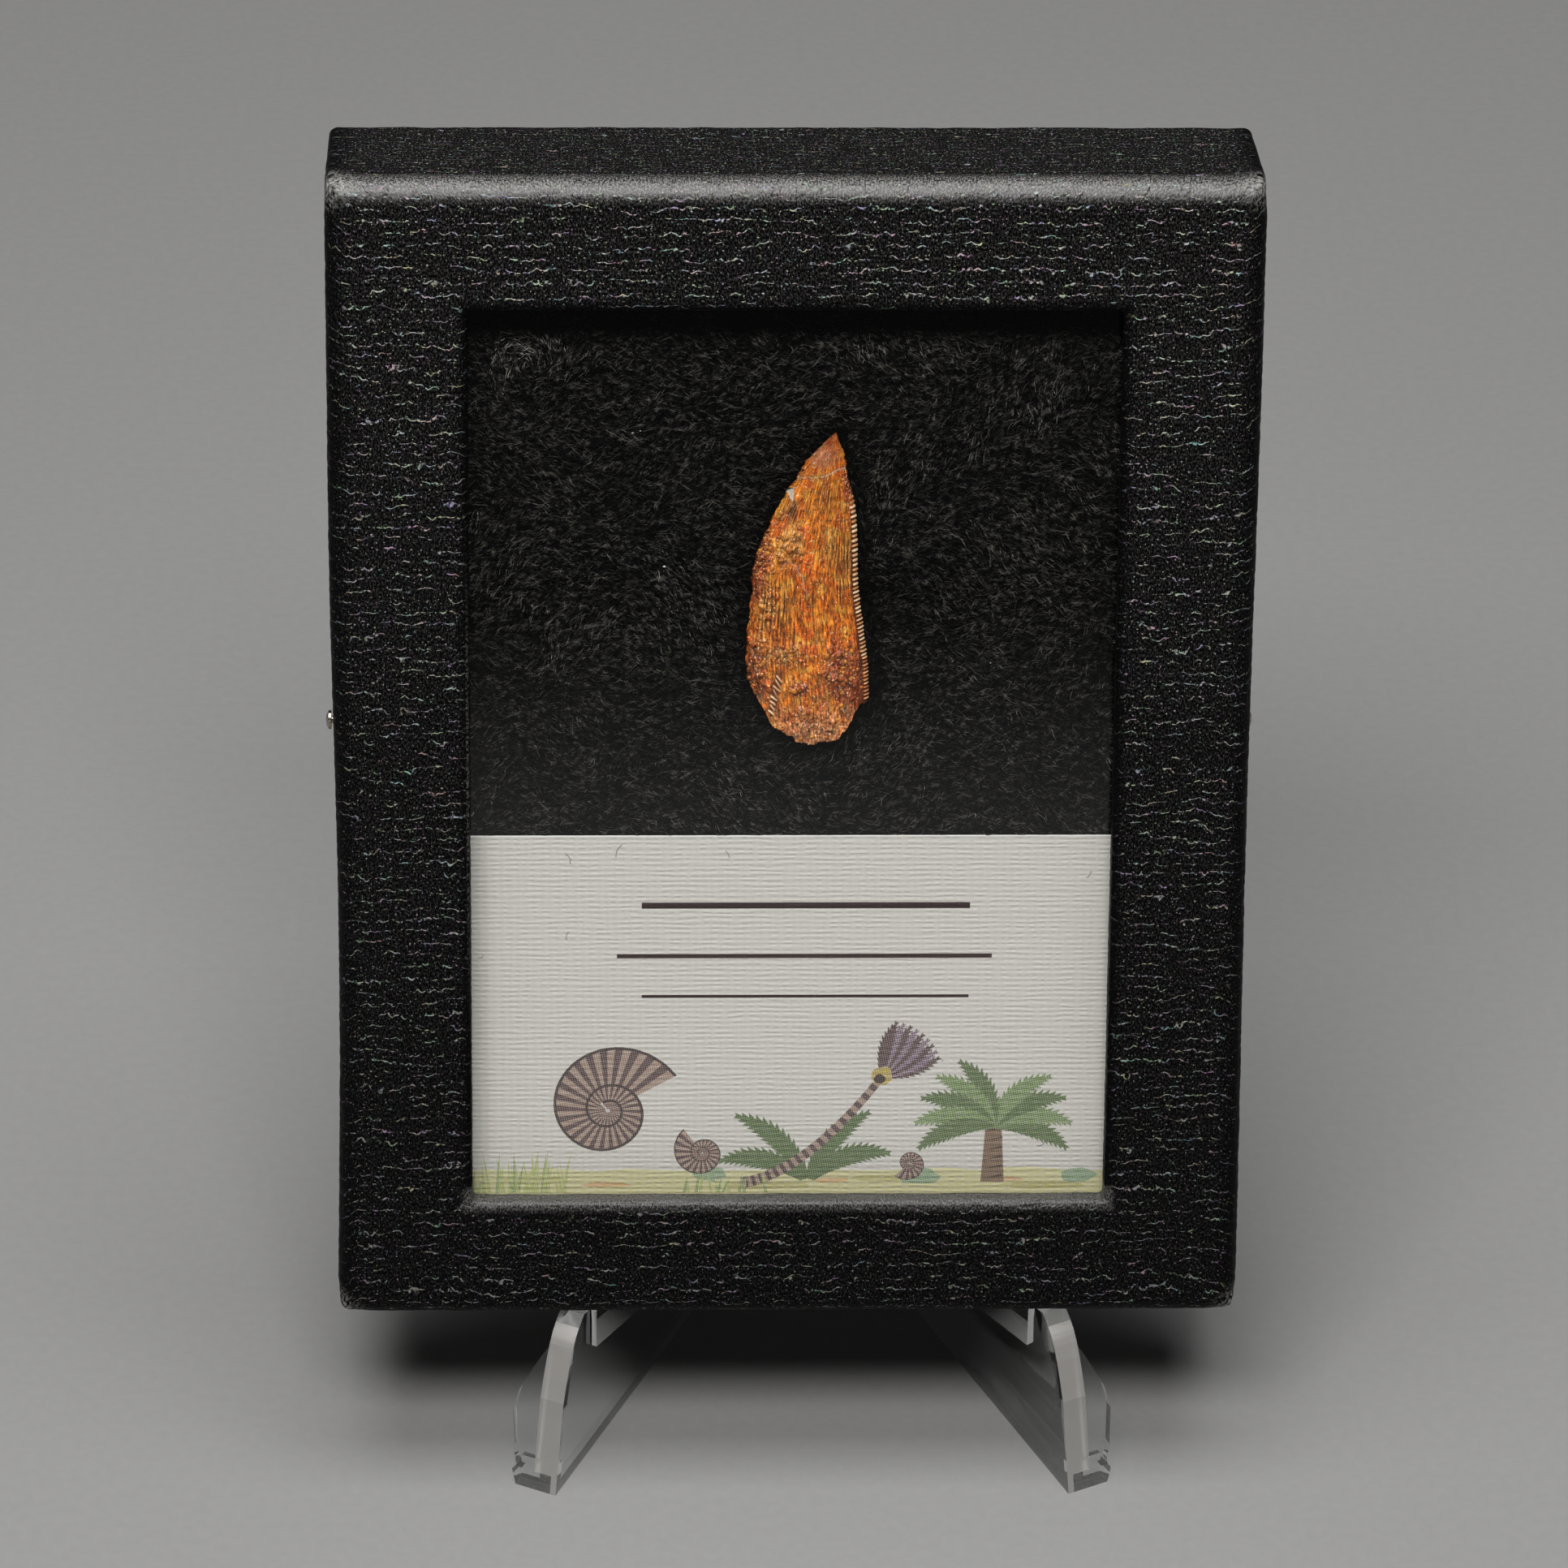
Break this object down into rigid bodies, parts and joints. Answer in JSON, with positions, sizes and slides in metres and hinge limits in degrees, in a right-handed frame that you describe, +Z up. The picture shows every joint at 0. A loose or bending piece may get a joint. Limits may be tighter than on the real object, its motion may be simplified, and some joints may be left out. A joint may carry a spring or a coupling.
{
  "type": "fossil tooth in a display box on an easel",
  "caption": "Serrated fossil dinosaur tooth on black plush in a leather-grain window box with a linen label card, leaning on a clear moulded plastic easel.",
  "frame": {"origin": "on the surface that the easel stands on, under the middle of the whole object", "axes": "+Z up, +Y towards the back of the easel, +X to the right as seen from the front; the box faces -Y and leans back 15 degrees"},
  "size_m": [0.0856, 0.055, 0.1238],
  "materials": {
    "leatherette": "black leather-grain paper over board, satin, with irregular crosswise creases",
    "glass": "clear thin pane",
    "card": "off-white card with a linen emboss and a flat printed design",
    "fossil": "orange-brown fossil enamel with fine lengthwise striations and iron-stained grains",
    "plush": "black crimped fibre plush, matt",
    "tray_board": "black leather-grain paper over board",
    "pin_steel": "bright steel pin head",
    "clear_plastic": "clear moulded polystyrene"
  },
  "bodies": {
    "root": {"lid": "leatherette", "glass_pane": "glass", "label_card": "card", "tooth": "fossil", "plush_pad": "plush", "base_tray": "tray_board", "side_pin_left": "pin_steel", "side_pin_right": "pin_steel", "easel_stand": "clear_plastic"}
  },
  "joints": []
}
